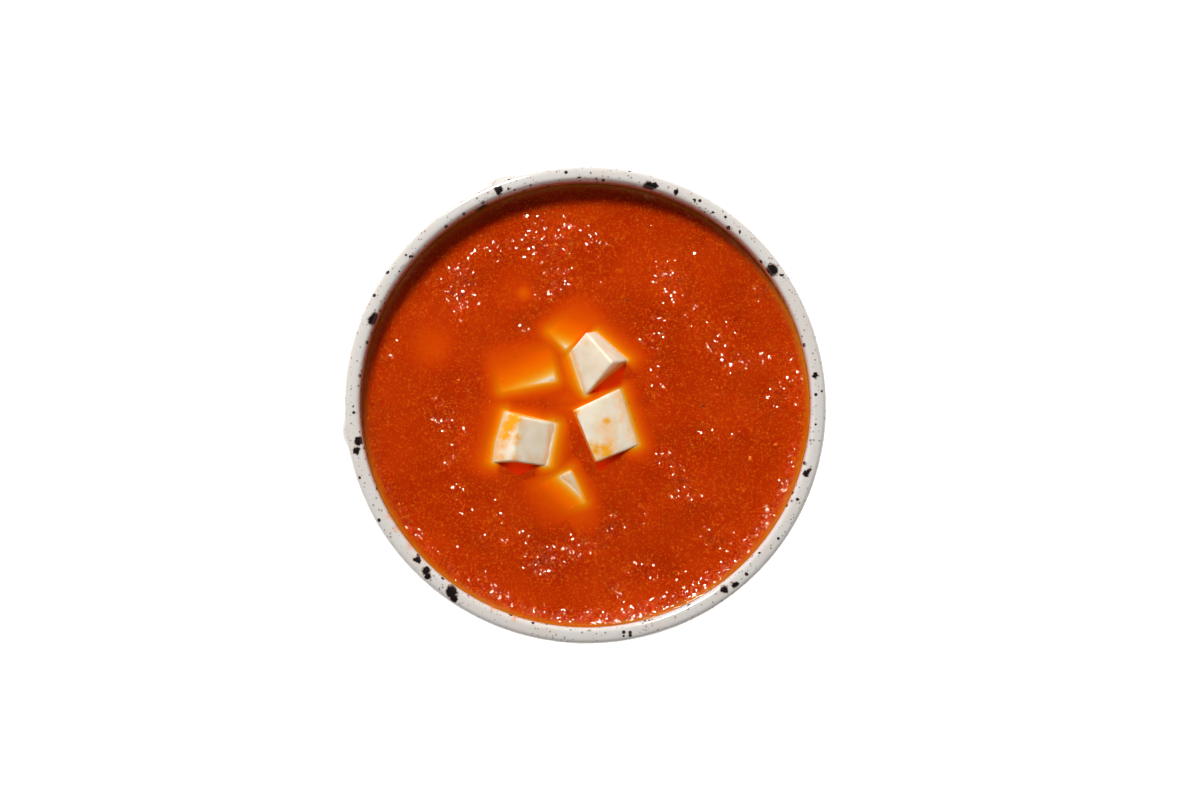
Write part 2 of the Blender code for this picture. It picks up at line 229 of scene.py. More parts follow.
# x, y and size in millimetres of the ones that lie in plain sight
SPICE_PLACES = (
    (-38.9, 34.9, 0.75), (13.2, 33.3, 0.85), (-53.7, 21.8, 0.45), (-12.0, 28.8, 0.5),
    (21.7, 6.6, 0.35), (37.2, -0.4, 0.7), (37.0, -22.6, 0.4), (17.4, -30.2, 0.45),
    (14.2, -29.0, 0.3), (0.8, -29.4, 0.35), (15.6, -4.6, 0.35), (8.6, -33.6, 0.5),
)
PULP_PLACES = (
    (-9.1, 50.9, 1.1), (59.9, -12.6, 1.2), (51.9, -17.0, 1.3), (-58.4, -31.5, 0.9),
    (-9.3, -4.6, 0.7), (-4.6, -5.3, 0.5), (-40.0, 7.8, 0.8), (41.6, 5.4, 0.7),
)

# Stage
AIM = Vector((4.6, 0.6, 62.0)) * MM
KEY_SIZE = 0.34
KEY_DISTANCE = 1.5
WASH_SIZE = 1.6                   # the light that keeps the floor pale
WASH_POWER = 80.0
WASH_DISTANCE = 2.0
FLOOR_SIZE = 3.0                  # from its middle to each side
FLOOR_DROP = 0.1 * MM             # the foot ring doesn't touch it
# The sky's brightness: the sine of the elevation, and the level there
SKY_LEVELS = ((0.0, 1.0), (0.25, 0.74), (0.40, 0.37), (0.56, 0.14), (0.72, 0.04), (1.0, 0.01))


def linear(hex_colour):
    """Turn an sRGB hex colour into the linear red, green, blue and alpha that shaders take."""
    channels = [int(hex_colour[place:place + 2], 16) / 255.0 for place in (1, 3, 5)]
    return tuple(channel / 12.92 if channel <= 0.04045 else ((channel + 0.055) / 1.055) ** 2.4
                 for channel in channels) + (1.0,)


def number(name, description, default, **more):
    """A setting that is a plain number."""
    return FloatProperty(name=name, description=description, default=default, **more)


def length(name, description, default):
    """A setting in metres, which the panel shows in the scene's units."""
    return number(name, description, default, unit="LENGTH")


def colour(name, description, hex_colour):
    """A setting that is a colour."""
    return FloatVectorProperty(name=name, description=description, subtype="COLOR", size=4,
                               min=0.0, max=1.0, default=linear(hex_colour))


class BowlSettings(bpy.types.PropertyGroup):
    rim_radius: length("Rim radius", "Outside of the rim", 75.0 * MM)
    height: length("Height", "From the table to the top of the rim", 62.0 * MM)
    lip_width: length("Lip width", "Thickness of the rounded rim", 4.8 * MM)
    foot_radius: length("Foot radius", "Outside of the foot ring", 42.0 * MM)
    segments: IntProperty(
        name="Segments", description="Steps of the bowl's turn about its axis", default=256, min=32)


class GlazeSettings(bpy.types.PropertyGroup):
    glaze: colour("Glaze", "Pale grey-white of the glaze", "#d2cec9")
    warm: colour("Warm glaze", "Where the clay warms the glaze", "#d4cac1")
    iron: colour("Iron spots", "Iron that melted through the glaze", "#1a1214")
    halo: colour("Iron halo", "Brown edge round the iron spots", "#7a5c42")


class SoupSettings(bpy.types.PropertyGroup):
    level: length("Level", "Height of the soup above the table", 53.0 * MM)
    meniscus: length("Meniscus", "How far the soup climbs the wall", 2.6 * MM)
    soup: colour("Soup", "Orange-red of the smooth soup", "#be3703")
    deep: colour("Deep soup", "Where the soup is darkest", "#b02d01")
    pulp: colour("Pulp", "Fine grains of pulp and cream", "#ea7016")
    edge: colour("Edge", "Thin soup against the wall", "#dc7206")


class CheeseSettings(bpy.types.PropertyGroup):
    cheese: colour("Cheese", "Cream white of the cut faces", "#e7ddca")
    shade: colour("Cheese shade", "Slightly yellower patches", "#e0d0b4")
    stain: colour("Stain", "Soup that dried on the cheese", "#eaa014")
    # Orange of soaked cheese, also used as painted glow on its steep sides
    soaked_and_glow: colour("Soaked edge", "Cheese next to the soup's level", "#f8a440")
    unevenness: length("Unevenness", "How far the cut faces are off flat", 0.14 * MM)


class StageSettings(bpy.types.PropertyGroup):
    key_azimuth: number("Key azimuth", "Where the main light comes from, in degrees", 112.0)
    key_elevation: number("Key elevation", "How high the main light stands, in degrees", 47.0)
    key_power: number("Key power", "Power of the main light", 29.3, unit="POWER")
    fill: number("Fill", "Brightness of the light from all round", 1.0, min=0.0)
    lens: number("Lens", "Focal length in millimetres", 70.0)
    distance: length("Camera distance", "From the aim to the camera", 0.727)
    elevation: number("Camera elevation", "Angle above the table, in degrees", 85.0)


# Making meshes


def turned(outline, segments):
    """A closed solid of revolution about Z.

    The outline runs from the axis back to the axis, as (radius, height, outward). Outward is kept on
    each vertex: 0 on the inner side of the bowl's wall, 1 on its outer side.
    """
    bm = bmesh.new()
    layer = bm.verts.layers.float.new("outward")
    points = []
    for radius, height, outward in outline:
        point = bm.verts.new((radius, 0.0, height))
        point[layer] = outward
        points.append(point)
    edges = [bm.edges.new(pair) for pair in zip(points, points[1:])]
    bmesh.ops.spin(bm, geom=points + edges, cent=(0, 0, 0), axis=(0, 0, 1), angle=2 * math.pi,
                   steps=segments, use_merge=True)
    bmesh.ops.remove_doubles(bm, verts=bm.verts, dist=0.005 * MM)
    return bm


def object_from(name, bm, material):
    """Turn a bmesh into a finished piece of the part, with its faces pointing out."""
    bmesh.ops.recalc_face_normals(bm, faces=bm.faces)
    mesh = bpy.data.meshes.new(name)
    bm.to_mesh(mesh)
    bm.free()
    mesh.shade_smooth()
    mesh.materials.append(material)
    obj = bpy.data.objects.new(name, mesh)
    bpy.context.collection.objects.link(obj)
    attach(obj, "root")
    return obj


def welded_solids(names):
    """CAD nodes as one bmesh, with the corners that their faces share merged."""
    bm = bmesh.new()
    for name in names:
        bm.from_mesh(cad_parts[name].data)
    bmesh.ops.remove_doubles(bm, verts=bm.verts, dist=0.001 * MM)
    return bm


def smooth_hill(distance, reach):
    """1 at distance 0, falling smoothly towards 0 past reach."""
    return math.exp(-(distance / reach) ** 2)


def smooth_step(value, low, high):
    """0 up to low, 1 from high, smooth between them."""
    share = min(1.0, max(0.0, (value - low) / (high - low)))
    return share * share * (3.0 - 2.0 * share)


def azimuth_between(azimuth, other):
    """Smallest angle from one azimuth to the other, in degrees, always positive."""
    return abs((azimuth - other + 180.0) % 360.0 - 180.0)


# The bowl's shape


def curved_wall(low, high, start, fullness, steps, outward):
    """Points on a quarter of a superellipse that leaves low level and reaches high upright.

    start is the share of the quarter that is left out at its low end.
    """
    points = []
    for step in range(steps + 1):
        angle = (start + (1.0 - start) * step / steps) * math.pi / 2
        radius = low[0] + (high[0] - low[0]) * math.sin(angle) ** (2 / fullness)
        height = high[1] - (high[1] - low[1]) * math.cos(angle) ** (2 / fullness)
        points.append((radius, height, outward))
    return points


def inner_radius(bowl, height):
    """Radius of the inner wall where it stands upright."""
    share = (height - INNER_SHOULDER) / (bowl.height - LIP_HEIGHT - INNER_SHOULDER)
    return bowl.rim_radius - bowl.lip_width - WALL_LEAN * (1.0 - share)


def inner_outline(bowl, steps, upright_steps):
    """The bowl's inside, from the middle of its floor up to where the rounding of the rim begins."""
    shoulder = (inner_radius(bowl, INNER_SHOULDER), INNER_SHOULDER)
    points = curved_wall((0.0, FLOOR_HEIGHT), shoulder, 0.0, INNER_FULLNESS, steps, 0.0)
    upright = bowl.height - LIP_HEIGHT - INNER_SHOULDER
    for step in range(1, upright_steps + 1):
        height = INNER_SHOULDER + upright * step / upright_steps
        points.append((inner_radius(bowl, height), height, 0.0))
    return points


def outer_outline(bowl, steps, upright_steps):
    """The bowl's outside, from the top of its foot ring to where the rounding of the rim begins."""
    radius = bowl.rim_radius - WALL_LEAN
    points = curved_wall(OUTER_CURVE_START, (radius, OUTER_SHOULDER), OUTER_CURVE_CUT,
                         OUTER_FULLNESS, steps, 1.0)
    upright = bowl.height - LIP_HEIGHT - OUTER_SHOULDER
    for step in range(1, upright_steps + 1):
        share = step / upright_steps
        points.append((radius + WALL_LEAN * share, OUTER_SHOULDER + upright * share, 1.0))
    return points


def lip_outline(bowl, steps):
    """The rounding of the rim, from its outside over the top to its inside, without its two ends."""
    middle = bowl.rim_radius - bowl.lip_width / 2
    points = []
    for step in range(1, steps):
        angle = math.pi * step / steps
        across = math.copysign(abs(math.cos(angle)) ** (2 / LIP_FULLNESS), math.cos(angle))
        rise = math.sin(angle) ** (2 / LIP_FULLNESS)
        points.append((middle + across * bowl.lip_width / 2, bowl.height - LIP_HEIGHT * (1.0 - rise),
                       0.5 + across / 2))
    return points


def lip_top(bowl, radius):
    """Height of the rim's surface at a distance from the axis."""
    across = abs(radius - (bowl.rim_radius - bowl.lip_width / 2)) / (bowl.lip_width / 2)
    rise = max(0.0, 1.0 - across ** LIP_FULLNESS) ** (1 / LIP_FULLNESS)
    return bowl.height - LIP_HEIGHT * (1.0 - rise)


def foot_outline(bowl, steps=4):
    """The underside, from the axis over the foot ring up to the outer wall."""
    inside = bowl.foot_radius - FOOT_RING_WIDTH
    points = [(inside * share, FOOT_RECESS) for share in (0.0, 0.25, 0.5, 0.75, 0.95)]
    points += [(inside, FOOT_RECESS - FOOT_EDGE / 2), (inside, (FOOT_RECESS + FOOT_EDGE) / 2)]
    for centre, first in ((inside + FOOT_EDGE, 180.0), (bowl.foot_radius - FOOT_EDGE, 270.0)):
        for step in range(steps + 1):
            angle = math.radians(first + 90.0 * step / steps)
            points.append((centre + FOOT_EDGE * math.cos(angle),
                           FOOT_EDGE + FOOT_EDGE * math.sin(angle)))
    points += [(bowl.foot_radius - FOOT_EDGE / 4, FOOT_HEIGHT / 2),
               (bowl.foot_radius - FOOT_EDGE / 2, FOOT_HEIGHT)]
    return [(radius, height, 1.0) for radius, height in points]


def bump_height(bowl, azimuth, height):
    """How far the outer wall stands out of its turned shape at a place."""
    total = 0.0
    for centre, depth, proud, half_width in OUTER_BUMPS:
        sideways = smooth_hill(azimuth_between(azimuth, centre), half_width)
        below_rim = bowl.height - depth * MM - height
        total += proud * MM * sideways * smooth_hill(below_rim, BUMP_REACH)
    return total


def wall_shift(bowl, azimuth, radius, height, outward):
    """How far a point of the bowl's wall is off its true circle."""
    rise = max(0.0, (height - FOOT_HEIGHT) / (bowl.height - FOOT_HEIGHT))
    oval = OUT_OF_ROUND * math.cos(math.radians(2.0 * (azimuth - OUT_OF_ROUND_AT)))
    thinning = WALL_THINNING * math.cos(math.radians(azimuth - WALL_THINNING_AT)) * (0.5 - outward)
    inward_fade = outward + (1.0 - outward) * (radius / bowl.rim_radius) ** 2
    below_lip = min(1.0, (bowl.height - height) / LIP_HEIGHT)
    swell = RIM_SWELL * smooth_hill(azimuth_between(azimuth, RIM_SWELL_AT), RIM_SWELL_WIDTH)
    bump = outward * below_lip * bump_height(bowl, azimuth, height)
    return rise * (oval + thinning + swell) * inward_fade + bump


def bead_height(azimuth, radius):
    """How far a bead of thick glaze stands up from the rim at a place."""
    total = 0.0
    for centre, distance, size, height in GLAZE_BEADS:
        along = math.radians(azimuth_between(azimuth, centre)) * radius / (size * MM / 2)
        across = (radius - distance * MM) / (size * MM / 5)
        total += height * MM * math.exp(-along ** 2 - across ** 2)
    return total


def make_uneven(bm, bowl):
    """Move the turned bowl's vertices off their true circles, as a potter's hands leave them."""
    layer = bm.verts.layers.float["outward"]
    for vert in bm.verts:
        radius = math.hypot(vert.co.x, vert.co.y)
        height = vert.co.z
        if radius < MM or height < FOOT_EDGE * 1.5:
            continue
        azimuth = math.degrees(math.atan2(vert.co.y, vert.co.x))
        shift = wall_shift(bowl, azimuth, radius, height, vert[layer])
        lip_share = max(0.0, 1.0 - (bowl.height - height) / LIP_HEIGHT)
        turn = height / THROWING_SPACING + azimuth / 360.0
        shift += THROWING_DEPTH * (1.0 - lip_share) * (math.sin(2 * math.pi * turn) - 1.0)
        vert.co.x *= 1.0 + shift / radius
        vert.co.y *= 1.0 + shift / radius
        wobble = noise.noise(Vector((vert.co.x, vert.co.y, 0.0)) / LIP_WOBBLE_LENGTH)
        vert.co.z += lip_share * (LIP_WAVE * math.cos(math.radians(2.0 * (azimuth - LIP_WAVE_AT)))
                                  + LIP_WOBBLE * (wobble - 0.5))
        if lip_share > 0.0:
            vert.co.z += bead_height(azimuth, radius)


# Materials


class Nodes:
    """The shader nodes of a material or world. Most methods add one and give what it puts out."""

    def __init__(self, owner, coordinates="Object"):
        owner.use_nodes = True
        self.tree = owner.node_tree
        self.coords = self.add("TexCoord").outputs[coordinates]

    def feed(self, node, inputs):
        """Give a node's inputs values, sRGB hex colours or other nodes' outputs."""
        for key, value in inputs.items():
            if isinstance(value, bpy.types.NodeSocket):
                self.tree.links.new(value, node.inputs[key])
            else:
                node.inputs[key].default_value = linear(value) if isinstance(value, str) else value

    def add(self, kind, inputs=None, **settings):
        """Add a node with these settings and inputs, and give the node itself."""
        made = self.tree.nodes.new("ShaderNode" + kind)
        for name, value in settings.items():
            setattr(made, name, value)
        self.feed(made, inputs or {})
        return made

    def attribute(self, name):
        """What the mesh's vertices carry under a name."""
        return self.add("Attribute", attribute_name=name).outputs["Fac"]

    def noise(self, scale, detail=2.0, **more):
        """Cloudy noise with scale features to the metre."""
        return self.add("TexNoise", {"Vector": self.coords, "Scale": scale, "Detail": detail,
                                     **more}).outputs[0]

    def fit(self, value, low, high, bottom=0.0, top=1.0, curve="LINEAR"):
        """bottom where value is low, top where it is high."""
        return self.add("MapRange", {"Value": value, "From Min": low, "From Max": high,
                                     "To Min": bottom, "To Max": top},
                        interpolation_type=curve).outputs[0]

    def maths(self, operation, *values, **settings):
        """Mathematics on numbers."""
        return self.add("Math", dict(enumerate(values)), operation=operation, **settings).outputs[0]

    def vectors(self, operation, *values):
        """Mathematics on vectors."""
        made = self.add("VectorMath", dict(enumerate(values)), operation=operation)
        return made.outputs["Value" if operation == "DISTANCE" else "Vector"]

    def mix(self, factor, first, second, blend="MIX"):
        """The first colour where factor is 0 and the second where it is 1."""
        return self.add("Mix", {0: factor, 6: first, 7: second}, data_type="RGBA",
                        blend_type=blend).outputs[2]

    def ramp(self, value, stops):
        """A colour for each value from 0 to 1, between stops of a value and a colour."""
        made = self.add("ValToRGB", {0: value})
        elements = made.color_ramp.elements
        while len(elements) < len(stops):
            elements.new(0.5)
        for element, (place, shade) in zip(elements, stops):
            element.position = place
            element.color = linear(shade) if isinstance(shade, str) else shade
        return made.outputs["Color"]

    def bump(self, height, distance):
        """A normal tilted by relief that is distance high."""
        return self.add("Bump", {"Height": height, "Distance": distance, "Strength": 1.0}).outputs[0]


def new_material(name, recipe, *settings):
    """A material whose Principled shader gets the inputs that its recipe works out."""
    material = bpy.data.materials.new(name)
    nodes = Nodes(material)
    nodes.feed(nodes.tree.nodes["Principled BSDF"], recipe(nodes, *settings))
    return material


def places_on_glaze(bowl, marks, height=None):
    """Points and sizes of marks on the rim, or on the wall where a height is given."""
    places = []
    for azimuth, distance, size in marks:
        angle = math.radians(azimuth)
        radius = distance * MM
        top = lip_top(bowl, radius) if height is None else height
        places.append(((radius * math.cos(angle), radius * math.sin(angle), top), size * MM))
    return places


def nearness(nodes, places):
    """How near the nearest of some places with sizes is: 1 at its ragged edge, less inside it."""
    ragged = nodes.add("TexNoise", {"Vector": nodes.coords, "Scale": 700.0, "Detail": 2.0})
    centred = nodes.vectors("SUBTRACT", ragged.outputs["Color"], (0.5, 0.5, 0.5))
    warped = nodes.vectors("MULTIPLY_ADD", centred, (RAGGED_EDGE,) * 3, nodes.coords)
    nearest = 9.0
    for place, size in places:
        away = nodes.vectors("DISTANCE", warped, place)
        nearest = nodes.maths("MINIMUM", nodes.maths("DIVIDE", away, size / 2), nearest)
    return nearest


def freckles(nodes, coords, spacing, sparse, largest):
    """A mask of scattered round freckles, one in some cells of the given spacing.

    sparse is the share of cells that stay empty, largest the radius of the largest freckle as a
    share of the spacing.
    """
    cells = nodes.add("TexVoronoi", {"Vector": coords, "Scale": 1.0 / spacing, "Randomness": 1.0},
                      feature="F1")
    pick = nodes.add("SeparateColor", {0: cells.outputs["Color"]}).outputs[0]
    radius = nodes.fit(pick, sparse, 1.0, top=largest)
    return nodes.fit(nodes.maths("SUBTRACT", radius, cells.outputs["Distance"]), 0.0, 0.05)


def wet_wall(nodes, soup, height, inside, ground):
    """The soup's film on the inner wall, up to a wavy tide mark, thinner and browner upwards."""
    level = nodes.maths("MULTIPLY_ADD", nodes.noise(160.0), -TIDE_WAVE, height)
    film = nodes.fit(level, *TIDE_MARK, top=0.92, curve="SMOOTHSTEP")
    up = nodes.fit(height, soup.level + soup.meniscus, FILM_TOP)
    sauce = nodes.mix(up, "#d04010", "#bc6040")
    return nodes.mix(nodes.maths("MULTIPLY", film, inside), ground, sauce)


def thin_glaze_and_shade(nodes, bowl, height, outward, ground):
    """Greyer over the outside of the lip, partly where the glaze runs thin and lets the grey clay
    through and partly as painted shade.
    """
    breaks_and_shade = nodes.fit(outward, 0.72, 1.0, top=0.6)
    lip = nodes.fit(height, *[bowl.height - depth for depth in THIN_GLAZE_AND_SHADE])
    return nodes.mix(nodes.maths("MULTIPLY", breaks_and_shade, lip), ground, "#a39a93")


def speckled(nodes, colours, inside, ground):
    """Brown freckles under 0.8 mm across, fewer dark ones up to 1.4 mm, dashes on the inner wall."""
    tiny = freckles(nodes, nodes.coords, 0.9 * MM, 0.45, 0.42)
    dusting = nodes.mix(nodes.maths("MULTIPLY", tiny, 0.7), ground, colours.halo)
    coarse = freckles(nodes, nodes.coords, 2.0 * MM, 0.70, 0.36)
    dusting = nodes.mix(coarse, dusting, "#3a2c26")
    stretched = nodes.vectors("MULTIPLY", nodes.coords, (1.0, 1.0, 0.55))
    dashes = freckles(nodes, stretched, 1.9 * MM, 0.35, 0.40)
    return nodes.mix(nodes.maths("MULTIPLY", dashes, inside), dusting, "#1c0f0a")


def glaze_recipe(nodes, bowl, colours, soup):
    """Glossy white glaze over iron-rich stoneware: iron melts through it as dark spots and freckles.

    The eye gets a clear, hard gloss over a milky ground, warmer where the glaze ran thin, greyer
    over the outside of the lip, partly thin glaze and partly painted shade, and an orange film where
    the soup wet the inner wall.
    """
    height = nodes.add("SeparateXYZ", {0: nodes.coords}).outputs["Z"]
    outward = nodes.attribute("outward")
    inside = nodes.fit(outward, 0.30, 0.05)

    # Milky ground, warmer in soft patches about a centimetre across
    patches = nodes.fit(nodes.noise(95.0, detail=3.0), 0.42, 0.72, top=0.65)
    ground = nodes.mix(patches, colours.glaze, colours.warm)
    ground = wet_wall(nodes, soup, height, inside, ground)
    ground = thin_glaze_and_shade(nodes, bowl, height, outward, ground)

    # Soup that ran thinly over the inner edge of the rim
    runs = nearness(nodes, places_on_glaze(bowl, SOUP_RUNS))
    ground = nodes.mix(nodes.fit(runs, 1.2, 0.1, top=0.6, curve="SMOOTHSTEP"), ground, "#e89048")
    ground = speckled(nodes, colours, inside, ground)

    # Large spots: a brown halo round a black core
    spots = places_on_glaze(bowl, IRON_SPOTS) + places_on_glaze(bowl, [WALL_SPOT], WALL_SPOT_HEIGHT)
    near = nearness(nodes, spots)
    halo = nodes.fit(near, 1.25, 0.95, top=0.8, curve="SMOOTHSTEP")
    core = nodes.fit(near, 1.02, 0.82, curve="SMOOTHSTEP")
    return {
        "Base Color": nodes.mix(core, nodes.mix(halo, ground, colours.halo), colours.iron),
        "Roughness": nodes.fit(core, 0.0, 1.0, 0.07, 0.22),
        "IOR": 1.52,
        "Subsurface Weight": 0.4,
        "Subsurface Radius": (1.0, 0.9, 0.8),
        "Subsurface Scale": 1.5 * MM,
        "Normal": nodes.bump(nodes.noise(300.0), 0.035 * MM),   # faint orange peel
    }


def soup_body(nodes, colours, grain):
    """Colour of deep soup, with patches of two centimetres and pulp where the surface is rough."""
    patches = nodes.fit(nodes.noise(55.0, detail=4.0), 0.35, 0.65)
    body = nodes.mix(patches, colours.deep, colours.soup)
    pulp = nodes.fit(nodes.noise(1500.0, Roughness=0.6), 0.52, 0.70, top=0.9)
    amount = nodes.fit(grain, 0.0, 1.0, 0.45, 1.0)
    return nodes.mix(nodes.maths("MULTIPLY", pulp, amount), body, colours.pulp)


def cheese_light(nodes):
    """Cheese seen through the soup over it, the painted glow beside it, and how far deep soup covers
    it.
    """
    film = nodes.attribute("film")
    near = nodes.attribute("near")
    # Cheese that shows through, from white to orange as the soup over it gets deeper
    through = nodes.ramp(nodes.maths("DIVIDE", film, SEEN_DEPTH), (
        (0.03, "#e8d0b4"), (0.045, "#e8c498"), (0.065, "#e8b878"), (0.09, "#e8aa50"),
        (0.125, "#e89c20"), (0.165, "#e88e01"), (0.22, "#e87b00"), (0.29, "#e86b01"),
        (0.385, "#e65c01"), (0.5, "#e35101"), (0.75, "#d04201"), (1.0, "#bc3402")))
    # Painted glow: light that leaves a chunk sideways, redder the further it has come
    beside = nodes.ramp(nodes.maths("DIVIDE", near, SEEN_WAY), (
        (0.035, "#d89535"), (0.075, "#d88815"), (0.11, "#d87801"), (0.15, "#d86b01"),
        (0.24, "#d65a01"), (0.31, "#d45001"), (0.425, "#d24701"), (0.575, "#cf4102"),
        (0.775, "#c93a01"), (1.0, "#bc3402")))
    above = nodes.fit(film, 0.8, 3.8, curve="SMOOTHSTEP")
    aside = nodes.fit(near, 1.5, 7.5, curve="SMOOTHSTEP")
    return nodes.mix(1.0, through, beside, blend="LIGHTEN"), nodes.maths("MINIMUM", above, aside)


def soup_relief(nodes, grain):
    """Relief finer than the ripples in the mesh: soft unevenness and grains under a skin of liquid.

    The grains are half a millimetre and a millimetre across, and each tilts the skin its own way.
    """
    uneven = nodes.maths("MULTIPLY", nodes.noise(1100.0), grain)
    normal = nodes.bump(uneven, GRAIN_HEIGHT)
    for size, slope in GRAIN_TILTS:
        cells = nodes.add("TexVoronoi", {"Vector": nodes.coords, "Scale": 1.0 / size}, feature="F1")
        lean = nodes.vectors("SUBTRACT", cells.outputs["Color"], (0.5, 0.5, 0.5))
        amount = nodes.maths("MULTIPLY", grain, 2.0 * slope)
        lean = nodes.add("VectorMath", {0: lean, "Scale": amount}, operation="SCALE").outputs[0]
        normal = nodes.vectors("ADD", normal, lean)
    return nodes.vectors("NORMALIZE", normal)


def soup_recipe(nodes, colours):
    """Thick tomato soup: sieved tomato with cream and oil, wet and slightly grainy.

    The eye gets an even, deep orange-red body, fine orange grains of pulp under a wet gloss that
    splits into small sparks, and an orange glow round and over the white cheese, the glow round it
    painted into the colour. Red light goes some millimetres through it and fills the shadows, and in
    the shadow of a tall chunk the light that the chunk lets through is painted in: a brighter red
    colour and a faint red emission.
    """
    grain = nodes.attribute("grain")
    painted_light_in_shadow = nodes.attribute("painted_light_in_shadow")
    glow, cover = cheese_light(nodes)
    # Cheese seen through the soup, and the painted glow beside it, where the soup isn't deep
    body = nodes.mix(cover, glow, soup_body(nodes, colours, grain))
    # Painted light: in a chunk's shadow the soup is made a brighter red, for light that the cheese
    # lets through
    body = nodes.mix(painted_light_in_shadow, body, "#ff3a02")
    # Thin soup against the white wall
    thin = nodes.fit(nodes.attribute("wedge"), 0.12, 0.95)
    return {
        "Base Color": nodes.mix(thin, body, colours.edge),
        "Roughness": 0.05,
        "IOR": 1.42,
        "Specular Tint": (1.0, 0.86, 0.74, 1.0),
        "Subsurface Weight": nodes.maths("MAXIMUM", nodes.fit(cover, 0.0, 1.0, 0.2, 0.85), painted_light_in_shadow),
        "Subsurface Radius": (1.0, 0.10, 0.02),
        "Subsurface Scale": 7.0 * MM,
        # Painted glow: a faint red emission in a chunk's shadow, for the same light
        "Emission Color": (1.0, 0.06, 0.0, 1.0),
        "Emission Strength": nodes.fit(painted_light_in_shadow, 0.2, 1.0, top=0.24),
        "Normal": soup_relief(nodes, grain),
    }


def cheese_recipe(nodes, colours):
    """Fresh white cheese, cut into blocks: cream white, matte and faintly moist, with a fine curd.

    The eye gets soft light under the surface, tiny pores, and soup that stains it orange; on the
    steep sides near the soup the orange is also painted glow.
    """
    soaked_and_glow = nodes.attribute("soaked_and_glow")
    patches = nodes.fit(nodes.noise(240.0, detail=4.0), 0.38, 0.7)
    curd = nodes.mix(patches, colours.cheese, colours.shade)
    blotch = nodes.fit(nodes.noise(900.0, detail=3.0), 0.35, 0.62, 0.65, 1.0)
    blotch = nodes.maths("MULTIPLY", blotch, nodes.attribute("stain"), use_clamp=True)
    stained = nodes.mix(blotch, curd, colours.stain)
    coloured = nodes.maths("MAXIMUM", blotch, soaked_and_glow)
    return {
        "Base Color": nodes.mix(soaked_and_glow, stained, colours.soaked_and_glow),
        "Roughness": 0.42,
        "IOR": 1.40,
        "Subsurface Weight": nodes.fit(coloured, 0.0, 1.0, 0.7, 0.1),
        "Subsurface Radius": (1.0, 0.75, 0.45),
        "Subsurface Scale": 6.0 * MM,
        "Normal": nodes.bump(nodes.noise(1400.0, detail=3.0), 0.05 * MM),   # pores
    }


def bit_recipe(nodes, shade, roughness):
    """A soft wet bit of food, mottled lighter and darker."""
    dark = linear(shade)
    light = tuple(min(1.0, channel * 1.6) for channel in dark[:3]) + (1.0,)
    return {"Base Color": nodes.mix(nodes.noise(2500.0), dark, light), "Roughness": roughness,
            "IOR": 1.4}


def paper_recipe(nodes):
    """Matte white paper."""
    return {"Base Color": nodes.mix(nodes.noise(6.0), "#f4f3f1", "#f7f6f5"), "Roughness": 0.9}


# The soup's shape


def disc_point(across, along):
    """Map a square from -1 to 1 onto the unit disc, with all cells about the same size."""
    if across == 0.0 and along == 0.0:
        return 0.0, 0.0
    if abs(across) > abs(along):
        return across, math.pi / 4 * along / across
    return along, math.pi / 2 - math.pi / 4 * across / along


def surface_wave(x, y):
    """Low swells left in the thick soup when it was poured and stirred."""
    swell = math.sin(x / (9.0 * MM) + 1.9) * math.cos(y / (11.0 * MM) - 0.7)
    cross = math.sin((x + 1.7 * y) / (15.0 * MM) + 3.5)
    return SURFACE_WAVE * (swell + cross)


def pulp_share(x, y, away):
    """How grainy the surface is, from 0 to 1: least round the cheese, most in the rough places."""
    base = GRAIN_BASE
    for place_x, place_y, spread, strength in ROUGH_PLACES:
        distance = math.hypot(x - place_x * MM, y - place_y * MM)
        base = max(base, strength * smooth_hill(distance, spread * MM))
    uneven = noise.noise(Vector((x, y, 0.05)) / GRAIN_PATCHES)
    share = max(GRAIN_LEAST, min(1.0, base + GRAIN_CHANGE * uneven))
    return share * smooth_step(away, *CHEESE_CALM)


def ripples(x, y, grain):
    """Height of the surface's relief at a place, around its mean level."""
    radius = math.hypot(x, y)
    around = math.atan2(y, x)
    stirred = noise.noise(Vector((radius / STIR_SPACING, STIR_LENGTHS * math.cos(around),
                                  STIR_LENGTHS * math.sin(around))))
    fine = noise.fractal(Vector((x, y, 0.0)) / RIPPLE_SIZE, 1.0, 2.0, 3)
    stir = (CALM_STIR + (1.0 - CALM_STIR) * grain) * STIR_DEPTH * stirred
    return surface_wave(x, y) + stir + (RIPPLE_LEAST + grain) * RIPPLE_DEPTH * fine


def cheese_glow(tree, point, towards_light):
    """What the cheese does to the soup at a point of its level.

    Gives the distance to the nearest chunk, the soup's depth over a chunk right below, and how far
    the light of the nearest chunk has come: further than the distance where the chunk's edge stands
    high and turns away from the light. That light is painted into the soup's colour as a glow.
    """
    place, normal, _, distance = tree.find_nearest(point)
    if (point - place).dot(normal) < 0.0:
        return 0.0, 0.0, 0.0
    down = Vector((0.0, 0.0, -1.0))
    hit = tree.ray_cast(point, down)[0]
    depth = point.z - hit.z if hit else math.inf
    outward = Vector((normal.x, normal.y, 0.0))
    facing = 0.0
    freeboard = 0.0
    if outward.length > 0.2:
        outward.normalize()
        facing = SIDE_GLOW * smooth_step(outward.dot(towards_light), 0.0, 1.0)
        inside = place - outward * EDGE_INSIDE
        top = tree.ray_cast(Vector((inside.x, inside.y, 1.0)), down)[0]
        freeboard = top.z - point.z if top else 0.0
    high = smooth_step(freeboard, *HIGH_EDGE)
    strength = max(FAINTEST_GLOW, 1.0 - high + high * facing)
    return distance, depth, distance - GLOW_REACH * math.log(strength)


